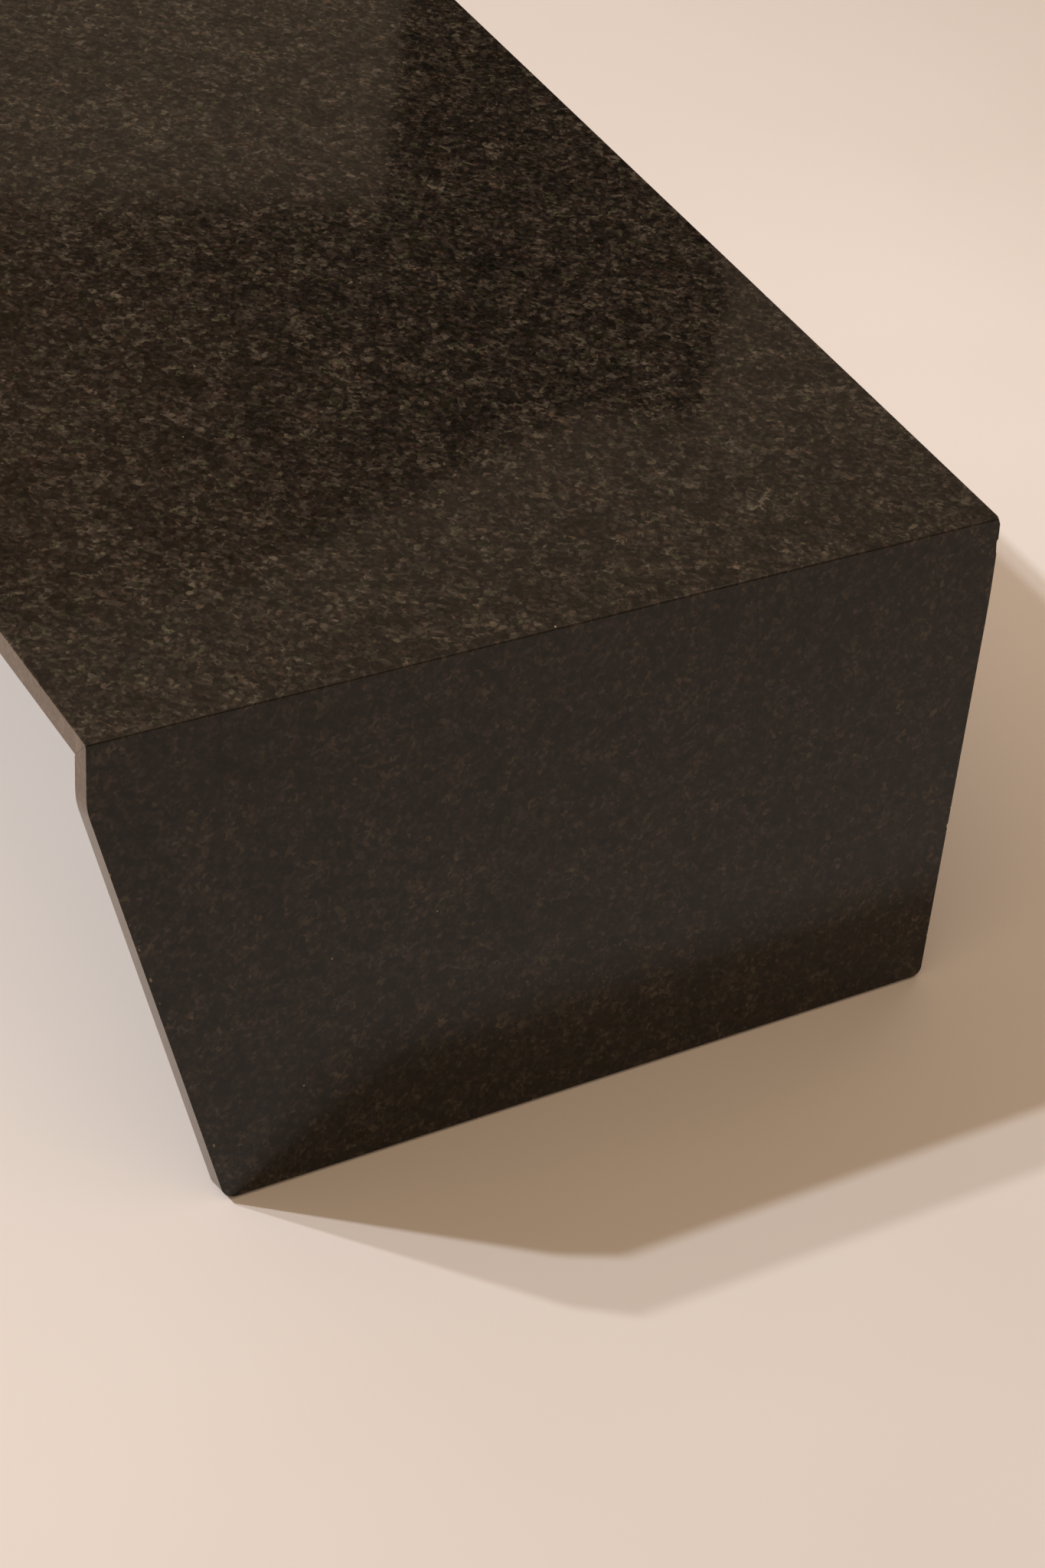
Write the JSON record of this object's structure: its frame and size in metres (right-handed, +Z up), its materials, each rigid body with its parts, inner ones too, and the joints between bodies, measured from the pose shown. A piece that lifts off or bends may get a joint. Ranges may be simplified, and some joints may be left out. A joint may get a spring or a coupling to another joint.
{
  "type": "low table",
  "caption": "Low table of thin polished dark granite: a flat top slab mitred to two splayed end panels with unequal side tapers, braced by hidden steel brackets.",
  "frame": {"origin": "on the floor, under the middle of the top slab", "axes": "+Z up, +X across the table, +Y along its length; the near end is at -Y, and its strongly tapered side is at -X"},
  "size_m": [0.8, 1.3888, 0.4],
  "materials": {
    "polished_granite": "polished",
    "black_epoxy": "satin",
    "stainless_steel": "satin",
    "zinc_plated_steel": "satin",
    "brass": "satin",
    "black_rubber": "matte"
  },
  "bodies": {
    "root": {"far_end_panel": "polished_granite", "far_left_bracket": "stainless_steel", "far_left_bracket_panel_left_insert": "brass", "far_left_bracket_panel_left_screw": "zinc_plated_steel", "far_left_bracket_panel_right_insert": "brass", "far_left_bracket_panel_right_screw": "zinc_plated_steel", "far_left_bracket_top_left_insert": "brass", "far_left_bracket_top_left_screw": "zinc_plated_steel", "far_left_bracket_top_right_insert": "brass", "far_left_bracket_top_right_screw": "zinc_plated_steel", "far_left_foot_pad": "black_rubber", "far_mitre_glue": "black_epoxy", "far_right_bracket": "stainless_steel", "far_right_bracket_panel_left_insert": "brass", "far_right_bracket_panel_left_screw": "zinc_plated_steel", "far_right_bracket_panel_right_insert": "brass", "far_right_bracket_panel_right_screw": "zinc_plated_steel", "far_right_bracket_top_left_insert": "brass", "far_right_bracket_top_left_screw": "zinc_plated_steel", "far_right_bracket_top_right_insert": "brass", "far_right_bracket_top_right_screw": "zinc_plated_steel", "far_right_foot_pad": "black_rubber", "left_groove_resin": "black_epoxy", "left_reinforcing_bar": "stainless_steel", "middle_groove_resin": "black_epoxy", "middle_reinforcing_bar": "stainless_steel", "near_end_panel": "polished_granite", "near_left_bracket": "stainless_steel", "near_left_bracket_panel_left_insert": "brass", "near_left_bracket_panel_left_screw": "zinc_plated_steel", "near_left_bracket_panel_right_insert": "brass", "near_left_bracket_panel_right_screw": "zinc_plated_steel", "near_left_bracket_top_left_insert": "brass", "near_left_bracket_top_left_screw": "zinc_plated_steel", "near_left_bracket_top_right_insert": "brass", "near_left_bracket_top_right_screw": "zinc_plated_steel", "near_left_foot_pad": "black_rubber", "near_mitre_glue": "black_epoxy", "near_right_bracket": "stainless_steel", "near_right_bracket_panel_left_insert": "brass", "near_right_bracket_panel_left_screw": "zinc_plated_steel", "near_right_bracket_panel_right_insert": "brass", "near_right_bracket_panel_right_screw": "zinc_plated_steel", "near_right_bracket_top_left_insert": "brass", "near_right_bracket_top_left_screw": "zinc_plated_steel", "near_right_bracket_top_right_insert": "brass", "near_right_bracket_top_right_screw": "zinc_plated_steel", "near_right_foot_pad": "black_rubber", "right_groove_resin": "black_epoxy", "right_reinforcing_bar": "stainless_steel", "top_slab": "polished_granite"}
  },
  "joints": []
}
